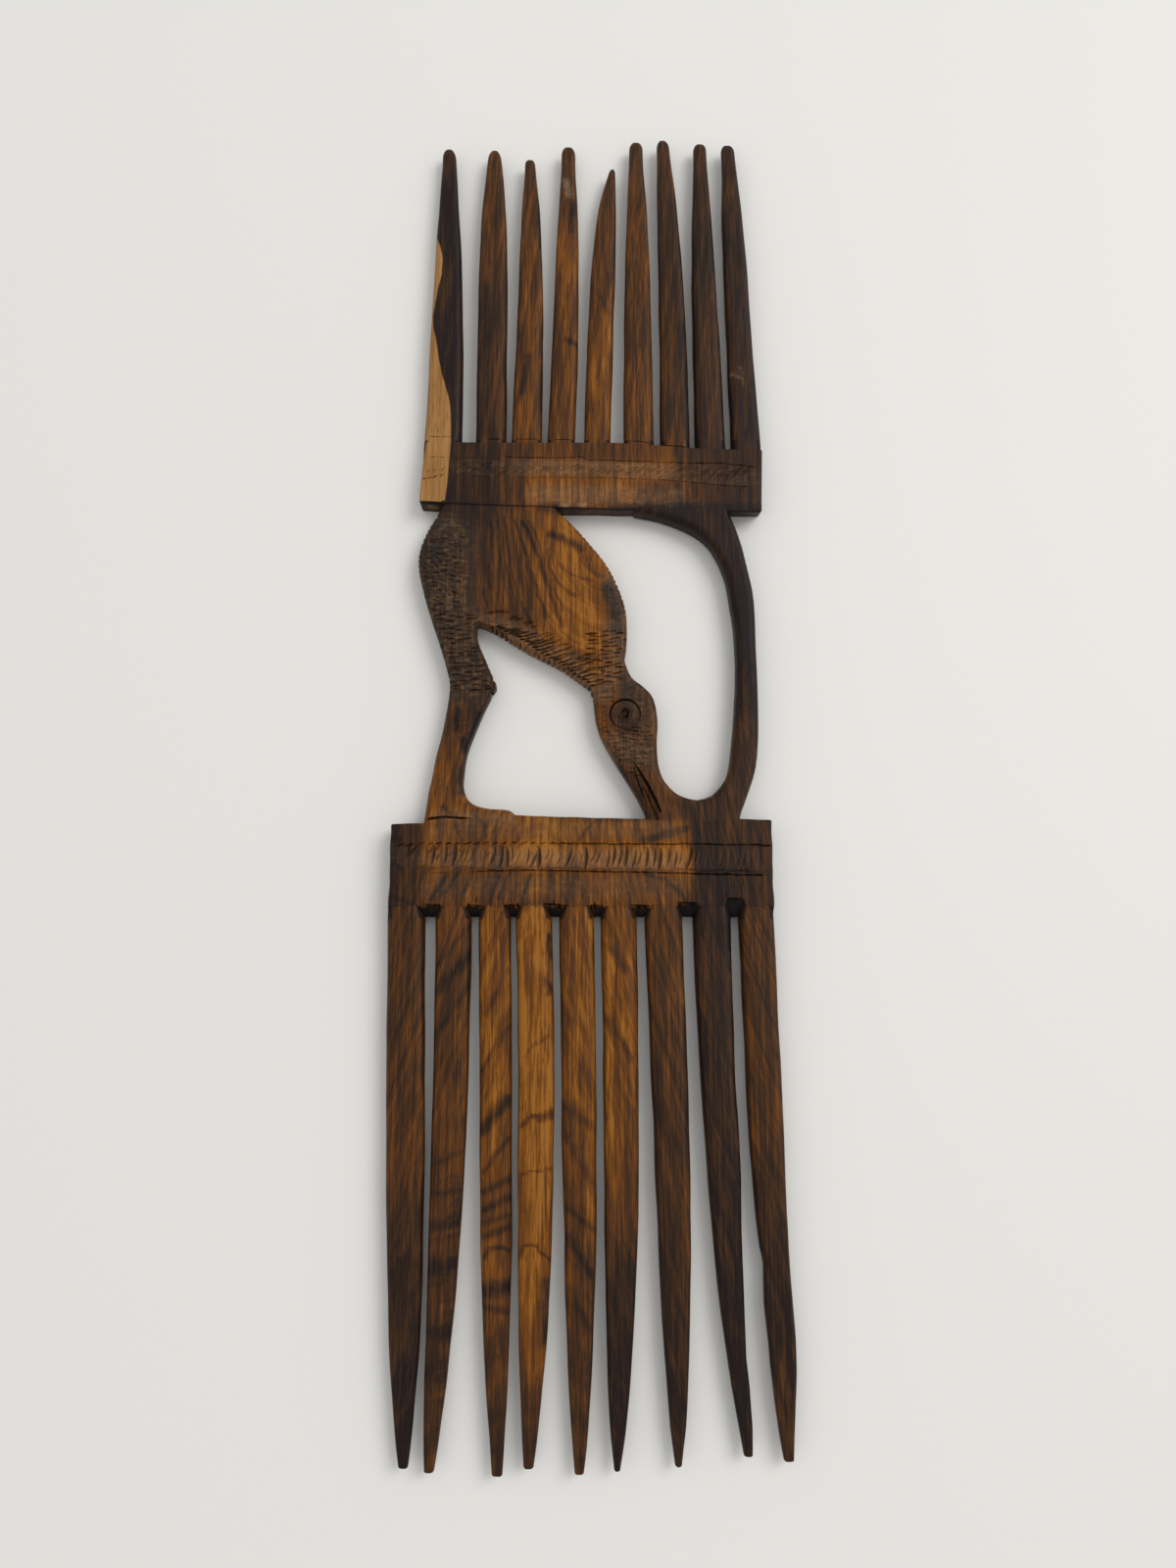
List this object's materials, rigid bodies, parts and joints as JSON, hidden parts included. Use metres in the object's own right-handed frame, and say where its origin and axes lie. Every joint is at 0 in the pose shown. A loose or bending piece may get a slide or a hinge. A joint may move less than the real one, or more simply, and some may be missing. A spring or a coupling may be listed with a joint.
{
  "type": "afro pick",
  "caption": "Double-ended carved wooden hair pick: short tines on one bar, long tines on the other, joined by an openwork wading bird and a curved side strut.",
  "frame": {"origin": "centre of the comb's box in length and width, on the plane of its back faces", "axes": "+Y along the comb towards the short tines, +Z out of the front face, +X to the side of the strut, so the bird looks towards +X and -Y"},
  "size_m": [0.0765, 0.2744, 0.005],
  "materials": {
    "dark_heartwood": "hand-polished satin, nearly black",
    "brown_heartwood": "hand-polished satin, streaked brown",
    "amber_heartwood": "hand-polished satin, orange with dark figure"
  },
  "bodies": {
    "root": {"upper_bar": "brown_heartwood", "lower_bar": "brown_heartwood", "body": "amber_heartwood", "thigh": "dark_heartwood", "shank": "brown_heartwood", "foot": "amber_heartwood", "head": "brown_heartwood", "beak": "brown_heartwood", "loop_foot": "brown_heartwood", "side_strut": "dark_heartwood", "strut_shoulder": "dark_heartwood", "upper_tine_1": "dark_heartwood", "upper_tine_2": "dark_heartwood", "upper_tine_3": "brown_heartwood", "upper_tine_4": "brown_heartwood", "upper_tine_5": "amber_heartwood", "upper_tine_6": "brown_heartwood", "upper_tine_7": "dark_heartwood", "upper_tine_8": "dark_heartwood", "upper_tine_9": "dark_heartwood", "lower_tine_1": "dark_heartwood", "lower_tine_2": "brown_heartwood", "lower_tine_3": "amber_heartwood", "lower_tine_4": "amber_heartwood", "lower_tine_5": "brown_heartwood", "lower_tine_6": "brown_heartwood", "lower_tine_7": "brown_heartwood", "lower_tine_8": "dark_heartwood", "lower_tine_9": "dark_heartwood"}
  },
  "joints": []
}
